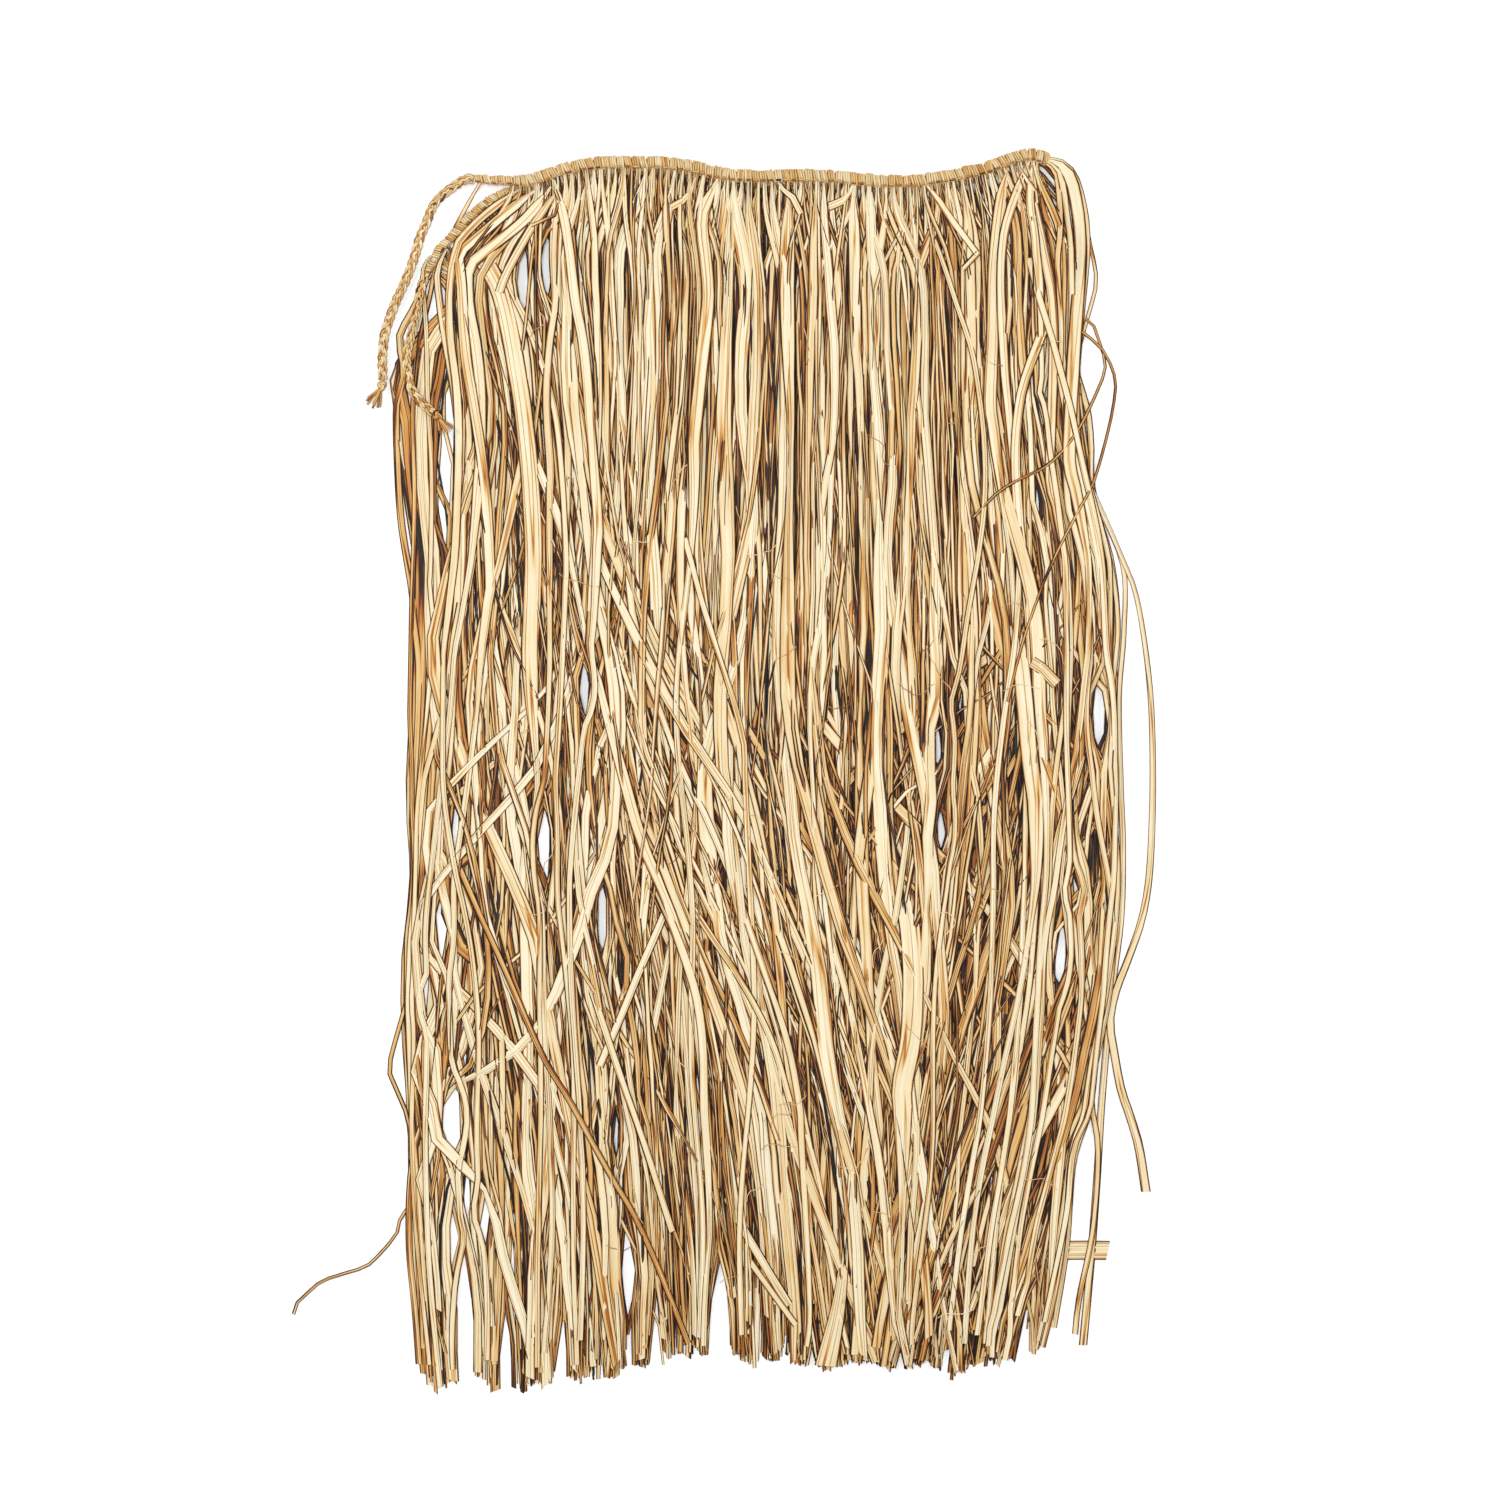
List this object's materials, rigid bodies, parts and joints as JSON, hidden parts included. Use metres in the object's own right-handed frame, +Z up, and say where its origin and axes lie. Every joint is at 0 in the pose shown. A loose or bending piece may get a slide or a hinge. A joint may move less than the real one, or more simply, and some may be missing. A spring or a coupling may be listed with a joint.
{
  "type": "grass skirt",
  "caption": "Natural raffia wrap skirt laid flat and folded in half, its long loose strands hitched to a waist cord whose plaited ends tie it on.",
  "frame": {"origin": "middle of the skirt's outline, on the surface it lies on", "axes": "+X across the skirt towards its fold, +Y from the hem towards the waist, +Z up from the surface it lies on"},
  "size_m": [0.5628, 0.8099, 0.0113],
  "materials": {
    "waist_cord": "raffia hitches, matt with a slight sheen",
    "raffia_front": "dried palm leaf, satin along the grain",
    "raffia_back": "dried palm leaf, satin along the grain",
    "raffia_loose": "dried palm leaf, satin along the grain",
    "plait": "plaited raffia, matt"
  },
  "bodies": {
    "root": {"waistband_front": "waist_cord", "waistband_back": "waist_cord", "waistband_fold": "waist_cord", "fringe_front_upper": "raffia_front", "fringe_front_lower": "raffia_front", "fringe_back_upper": "raffia_back", "fringe_back_lower": "raffia_back", "fringe_loose": "raffia_loose", "tie_front": "plait", "tie_back": "plait", "knot_front": "plait", "knot_back": "plait"}
  },
  "joints": []
}
